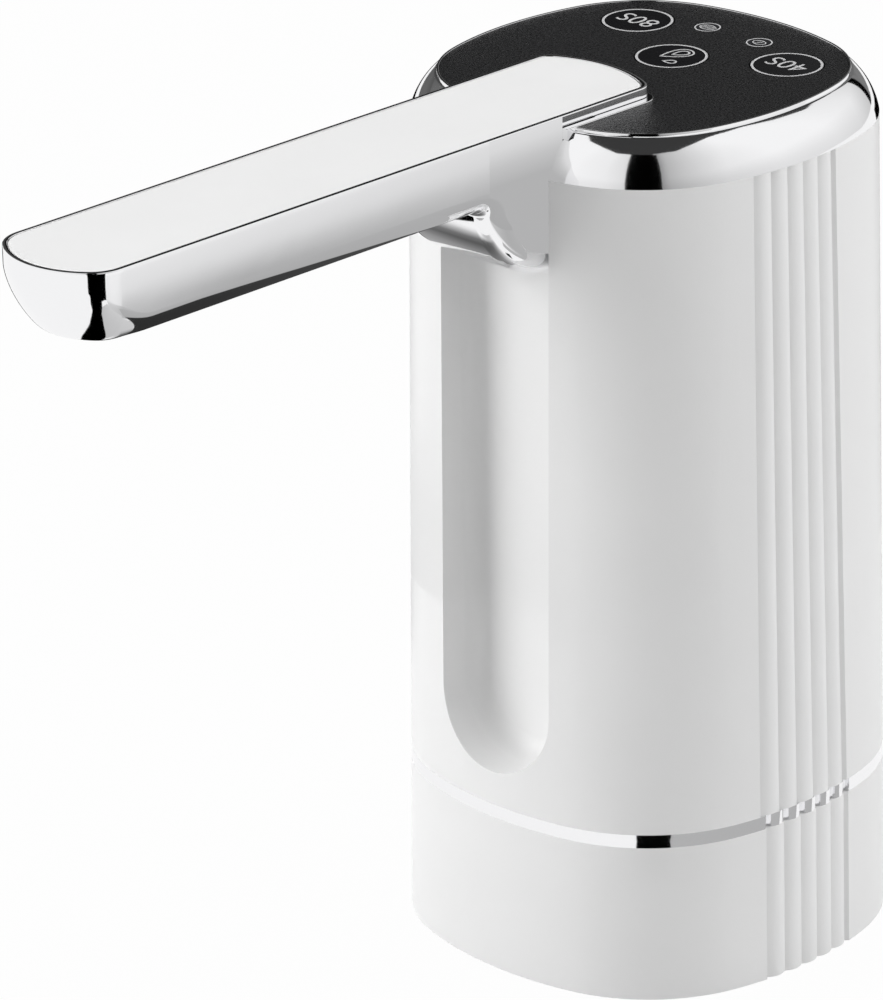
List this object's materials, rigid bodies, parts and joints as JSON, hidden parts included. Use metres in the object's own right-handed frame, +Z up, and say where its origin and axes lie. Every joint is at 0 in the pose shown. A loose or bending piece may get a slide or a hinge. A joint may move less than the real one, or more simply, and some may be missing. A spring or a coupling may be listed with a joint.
{
  "type": "electric water jug pump",
  "caption": "Battery pump for a large water bottle: leaning fluted body, key panel and fold-down spout over a front channel.",
  "frame": {"origin": "middle of the bottle neck socket at the level of the foot", "axes": "+Z up along the socket and the body, -Y towards the spout in its open position, +X to the right when the spout points away from the viewer who reads the keys from behind"},
  "size_m": [0.076, 0.1724, 0.1521],
  "materials": {
    "white_shell": "satin moulded white",
    "chrome_trim": "chrome-plated plastic, mirror bright",
    "pale_plate": "matte pale grey",
    "black_panel": "fine-grained black",
    "black_key": "gloss black with light printed icon",
    "lens": "smoky clear lens",
    "soft_rubber": "soft matte",
    "hose": "soft clear hose, shown milky",
    "pump_plastic": "moulded, matte",
    "gear_plastic": "moulded natural plastic",
    "steel": "bright steel",
    "can_steel": "zinc-plated steel",
    "magnet": "dark sintered magnet",
    "copper": "copper-coloured metal",
    "circuit_board": "green board",
    "cell_sleeve": "shrink-sleeved cell"
  },
  "bodies": {
    "housing": {"base_collar": "white_shell", "trim_band": "chrome_trim", "body_shell": "white_shell", "floor_plate": "pump_plastic", "floor_screws": "steel", "neck_seal": "soft_rubber", "top_bezel": "chrome_trim", "touch_panel": "black_panel", "spout_trim": "chrome_trim", "indicator_lens_left": "lens", "indicator_lens_right": "lens", "panel_board": "circuit_board", "panel_screws": "steel", "indicator_leds": "black_panel", "key_switches": "black_panel", "hinge_axle": "steel", "axle_seals": "soft_rubber", "hinge_fitting": "pump_plastic", "feed_clip": "pump_plastic", "riser_hose": "hose", "inlet_grommet": "soft_rubber", "pump_body": "pump_plastic", "pump_gasket": "soft_rubber", "pump_cover": "pump_plastic", "pump_screws": "steel", "shaft_seal": "soft_rubber", "driven_gear_pin": "steel", "motor_can": "can_steel", "motor_bearing": "copper", "motor_magnets": "magnet", "motor_end_bell": "pump_plastic", "motor_clamp": "pump_plastic", "clamp_screws": "steel", "chassis": "pump_plastic", "battery_cell": "cell_sleeve", "battery_holder": "pump_plastic", "main_board": "circuit_board", "board_screws": "steel", "board_components": "black_panel", "usb_port": "steel"},
    "spout": {"spout_arm": "chrome_trim", "spout_top_plate": "pale_plate", "outlet_nozzle": "pump_plastic", "outlet_screen": "steel", "spout_tube": "hose"},
    "rotor": {"motor_shaft": "steel", "armature": "steel", "commutator": "copper", "drive_gear": "gear_plastic"},
    "driven": {"driven_gear": "gear_plastic"},
    "key_80": {"key_80": "black_key"},
    "key_40": {"key_40": "black_key"},
    "key_dispense": {"key_dispense": "black_key"}
  },
  "joints": [
    {"name": "spout_fold", "type": "hinge", "parent": "housing", "child": "spout", "pos_m": [0, -0.031, 0.142], "axis": [1, 0, 0], "range_deg": [0, 90]},
    {"name": "key_80_press", "type": "slide", "parent": "housing", "child": "key_80", "axis": [0, 0, -1], "range_m": [0, 0.0005], "stiffness_N_per_m": 1200},
    {"name": "key_40_press", "type": "slide", "parent": "housing", "child": "key_40", "axis": [0, 0, -1], "range_m": [0, 0.0005], "stiffness_N_per_m": 1200},
    {"name": "key_dispense_press", "type": "slide", "parent": "housing", "child": "key_dispense", "axis": [0, 0, -1], "range_m": [0, 0.0005], "stiffness_N_per_m": 1200},
    {"name": "drive_spin", "type": "hinge", "parent": "housing", "child": "rotor", "pos_m": [-0.0072, 0.002, 0.036], "axis": [0, 0, 1], "continuous": true},
    {"name": "driven_spin", "type": "hinge", "parent": "housing", "child": "driven", "pos_m": [0.0072, 0.002, 0.036], "axis": [0, 0, 1], "continuous": true}
  ],
  "couplings": [
    {"joint": "driven_spin", "follows": "drive_spin", "ratio": -1}
  ]
}
